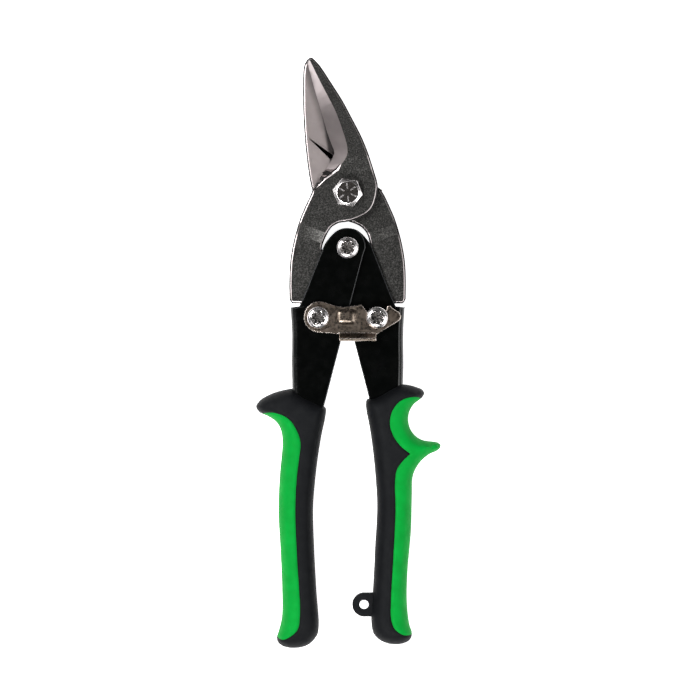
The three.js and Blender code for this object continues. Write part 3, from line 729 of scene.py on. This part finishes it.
def grip_pieces(outline, border, region):
    """A grip's points, their heights, which of them lie on the outline, and the triangles of the
    body and of the inlay."""
    ring = np.vstack([outline, outline[:1]])
    area = 0.5 * np.sum(outline[:, 0] * np.roll(outline[:, 1], -1)
                        - np.roll(outline[:, 0], -1) * outline[:, 1])
    inward = -1 if area > 0 else 1
    loop = np.vstack([outline[-1:], outline, outline[:1]])
    layers = []
    for depth in RING_DEPTHS:
        moved = beside(loop, inward * depth)[1:-1]
        if depth > 1:
            moved = moved[::2]
        layers.append(moved[distance_to_line(moved, ring) > 0.93 * depth])
    low, high = outline.min(0), outline.max(0)
    grid = np.array([(x, y) for j, y in enumerate(np.arange(low[1], high[1], FILL_STEP * 0.87))
                     for x in np.arange(low[0] + (j % 2) * FILL_STEP / 2, high[0], FILL_STEP)])
    grid = grid[inside(grid, outline)]
    layers.append(grid[distance_to_line(grid, ring) > FILL_DEPTH])
    free = np.vstack(layers)
    free = free[inside(free, outline)]
    free = free[distance_to_line(free, border) > SEAM_CLEAR]
    offsets = [-d for d in reversed(SEAM_OFFSETS)] + list(SEAM_OFFSETS)
    sides = np.vstack([beside(border, d) for d in offsets])
    sides = sides[inside(sides, outline)]
    sides = sides[distance_to_line(sides, ring) > 0.12]
    sides = sides[distance_to_line(sides, border) > 0.15]
    points = np.vstack([outline, border, sides, free])
    n, m = len(outline), len(border)
    links = [(i, (i + 1) % n) for i in range(n)] + [(n + i, n + i + 1) for i in range(m - 1)]
    made = delaunay_2d_cdt([Vector(p) for p in points], links, [list(range(n))], 1, 1e-4)
    places = np.array([tuple(v) for v in made[0]])
    triangles = [tuple(f) for f in made[2]]
    edge_distance = distance_to_line(places, ring)
    on_outline = edge_distance < 1e-3
    heights = grip_height(edge_distance, distance_to_line(places, border))
    heights[on_outline] = 0
    middles = np.array([places[list(t)].mean(0) for t in triangles])
    is_inlay = inside(middles, region)
    bodies = [t for t, flag in zip(triangles, is_inlay) if not flag]
    inlays = [t for t, flag in zip(triangles, is_inlay) if flag]
    return places, heights, on_outline, bodies, inlays


def grip_mesh(name, places, heights, on_outline, triangles):
    """Front and back skins that meet at the outline, and a wall where the other half adjoins."""
    work = bmesh.new()
    used = sorted({i for t in triangles for i in t})
    front, back = {}, {}
    for i in used:
        x, y = places[i] * MM
        z = heights[i] * MM
        front[i] = work.verts.new((x, y, SHEAR + z))
        back[i] = front[i] if on_outline[i] else work.verts.new((x, y, SHEAR - z))
    for t in triangles:
        work.faces.new([front[i] for i in t])
        if len({back[i] for i in t} | {front[i] for i in t}) > 3:
            work.faces.new([back[i] for i in reversed(t)])
    edges = {}
    for t in triangles:
        for a, b in ((t[0], t[1]), (t[1], t[2]), (t[2], t[0])):
            edges.setdefault((min(a, b), max(a, b)), []).append((a, b))
    for uses in edges.values():
        if len(uses) == 1:
            a, b = uses[0]
            if on_outline[a] and on_outline[b]:
                continue
            corners = [front[b], front[a]]
            if not on_outline[a]:
                corners.append(back[a])
            if not on_outline[b]:
                corners.append(back[b])
            work.faces.new(corners)
    mesh = finished_mesh(work, name)
    shade(mesh, 60)
    return mesh


LEFT_OUTLINE = smooth_curve([
    (-38.9, -90.6), (-37.2, -88), (-33.8, -85.9), (-30.4, -84.5), (-26, -83.4), (-23.2, -83.1),
    (-18.9, -85.9), (-14.7, -88), (-10.2, -90.2), (-9.2, -91.4), (-9.6, -96), (-10.9, -102),
    (-12.6, -112.5), (-13.8, -122.7), (-14.6, -134), (-14.15, -150.7), (-13.2, -168.5),
    (-12.2, -183.8), (-12.9, -187.6), (-16.2, -191.4), (-20.2, -192.9), (-26, -192.8),
    (-29.3, -191), (-30.1, -188.7), (-29.4, -186.3), (-27.9, -180), (-27.8, -168), (-28.4, -153),
    (-29.3, -135), (-28.8, -120), (-27.6, -105), (-28.5, -100), (-30.4, -97), (-33.8, -94.7),
    (-37.6, -92.9)], 1.1, closed=True)
LEFT_BORDER = smooth_curve([
    (-36, -93.6), (-33.4, -93.2), (-30.4, -93.4), (-25.3, -95.6), (-22, -99.75), (-19.95, -105.7),
    (-20.6, -113), (-21.5, -121), (-22.1, -134), (-21.4, -154), (-20.5, -168), (-20.1, -177),
    (-21, -184.6), (-23.3, -187.2), (-26.8, -189.2), (-28.8, -188.9), (-29.9, -187.9)], 1.0)
LEFT_REGION = np.vstack([LEFT_BORDER, [(-45, -187), (-45, -99)]])

RIGHT_OUTLINE = smooth_curve([
    (22.5, -81.3), (26.5, -81.6), (29.9, -82.6), (31.9, -83.5), (32.6, -84.9), (31.6, -86.9),
    (28.2, -89.5), (26.3, -92.6), (25.7, -96), (26.5, -99.9), (28.6, -102.9), (31.6, -104.8),
    (35, -105.4), (38.2, -105.8), (39.6, -107.3), (38.2, -109.2), (35, -110.7), (31.6, -113.3),
    (29, -116.8), (27.6, -120.5), (27.3, -128), (26.9, -143), (25.4, -161), (25.2, -174),
    (26.2, -183), (27.4, -187), (26.6, -189.5), (23.6, -191.2), (18, -191.4), (13.6, -189.7),
    (11, -186.9), (10, -181), (10.9, -166), (11.6, -150.7), (12.5, -133), (11.8, -120),
    (10.8, -110), (9.4, -99.8), (7.7, -89.8), (8.2, -87.5), (11.5, -86.9), (15.7, -84.7),
    (18.9, -82.9)], 1.1, closed=True)
RIGHT_BORDER = np.vstack([
    smooth_curve([(31.2, -87.35), (29.8, -86.7), (28.2, -86.6), (24.8, -87.1), (21.4, -89),
                  (18.8, -92.8), (17.9, -98), (19.2, -102.6), (22.2, -107), (26.5, -110.6)], 1.0)[:-1],
    smooth_curve([(26.5, -110.6), (23.5, -113.4), (20.9, -117.2), (20.1, -122), (20.3, -134),
                  (19.4, -154), (18.4, -172), (18.5, -181), (20.2, -184.9), (23.6, -187.2),
                  (26, -187.4), (27.4, -186.8)], 1.0)])
RIGHT_REGION = np.vstack([RIGHT_BORDER, [(45, -186), (45, -92)]])


def grip(side, outline, border, region):
    """The black body and the green inlay of one grip."""
    body = side + "_handle"
    places, heights, rim, black, green = grip_pieces(outline, border, region)
    for name, triangles, material, slot, node in (
            (side + "_grip_core", black, BLACK, "grip_black", side + "_grip_body"),
            (side + "_grip_soft_inlay", green, GREEN, "grip_green", side + "_grip_inlay")):
        mesh = grip_mesh(name, places, heights, rim, triangles)
        make_piece(name, mesh, [material], body, slot, node)


grip("left", LEFT_OUTLINE, LEFT_BORDER, LEFT_REGION)
grip("right", RIGHT_OUTLINE, RIGHT_BORDER, RIGHT_REGION)


def hang_eye():
    """A lug with a round end and a hole, moulded on the inner side of the right grip."""
    centre = Vector((7.0, -174.6)) * MM
    hole, outer, half, root = 2.0 * MM, 5.05 * MM, 3.4 * MM, 12.5 * MM
    count = 80
    soft = 0.7 * MM          # how far the edges are rounded
    levels = [(outer - soft, half), (outer - 0.2 * soft, half - 0.2 * soft), (outer, half - soft),
              (outer, soft - half), (outer - 0.2 * soft, 0.2 * soft - half), (outer - soft, -half),
              (hole + soft, -half), (hole + 0.2 * soft, 0.2 * soft - half), (hole, soft - half),
              (hole, half - soft), (hole + 0.2 * soft, half - 0.2 * soft), (hole + soft, half)]
    work = bmesh.new()
    rows = []
    for i in range(count):
        turn = 2 * math.pi * i / count
        row = []
        for distance, up in levels:
            x, y = distance * math.cos(turn), distance * math.sin(turn)
            if distance > (hole + outer) / 2 and x > 0:
                stretch = min((root - centre.x) / max(x, 1e-9), distance / max(abs(y), 1e-9))
                x, y = x * stretch, y * stretch
            row.append(work.verts.new((centre.x + x, centre.y + y, SHEAR + up)))
        rows.append(row)
    for i in range(count):
        for j in range(len(levels)):
            k, n = (i + 1) % count, (j + 1) % len(levels)
            work.faces.new([rows[i][j], rows[k][j], rows[k][n], rows[i][n]])
    mesh = finished_mesh(work, "right_grip_hang_eye")
    shade(mesh, 40)
    make_piece("right_grip_hang_eye", mesh, [BLACK], "right_handle", "grip_black")


hang_eye()


# ---- floor, light and camera ----

MIDDLE = Vector((0, -0.06, 0.01))     # the lights point here
PICTURE_WIDTH = 0.297                 # width of the view at the height of the shear plane


def studio():
    """A white floor under a sky that is bright all round and dim straight overhead."""
    scene.view_settings.view_transform = "Standard"
    mesh = bpy.data.meshes.new("floor")
    half = 3
    mesh.from_pydata([(-half, -half, 0), (half, -half, 0), (half, half, 0), (-half, half, 0)], [],
                     [(0, 1, 2, 3)])
    floor = bpy.data.objects.new("floor", mesh)
    scene.collection.objects.link(floor)
    white = Shader("pale_floor", (0.85, 0.85, 0.85), 0.8, Specular_IOR_Level=0.0)
    white.set("Emission Color", (1, 1, 1, 1))
    white.set("Emission Strength", 0.95)
    mesh.materials.append(white.material)

    world = bpy.data.worlds.new("studio")
    scene.world = world
    world.use_nodes = True
    nodes, links = world.node_tree.nodes, world.node_tree.links
    split = nodes.new("ShaderNodeSeparateXYZ")
    links.new(nodes.new("ShaderNodeTexCoord").outputs["Generated"], split.inputs["Vector"])
    level = map_range(world.node_tree, split.outputs["Z"], 0.86, 0.985, 1.0, 0.18, smooth=True)
    links.new(level, nodes["Background"].inputs["Strength"])

    for name, place, size, power in (("key_light", (-0.6, 0.25, 0.9), 0.6, 11),
                                     ("fill_light", (0.75, -0.3, 0.8), 0.8, 7),
                                     ("slope_light", (-0.26, -0.7, 1.0), 0.4, 13)):
        light = bpy.data.lights.new(name, "AREA")
        light.size = size
        light.energy = power
        lamp = bpy.data.objects.new(name, light)
        scene.collection.objects.link(lamp)
        lamp.location = place
        aim = MIDDLE - Vector(place)
        lamp.rotation_euler = aim.to_track_quat("-Z", "Y").to_euler()


def camera():
    """Straight above the snips, with the tool's tips at the top of the picture."""
    lens = bpy.data.cameras.new("camera")
    lens.lens = 300
    lens.sensor_width = 36
    view = bpy.data.objects.new("camera", lens)
    scene.collection.objects.link(view)
    distance = PICTURE_WIDTH * lens.lens / lens.sensor_width
    view.location = (0.00102, -0.06666, SHEAR + distance)
    scene.camera = view


studio()
camera()
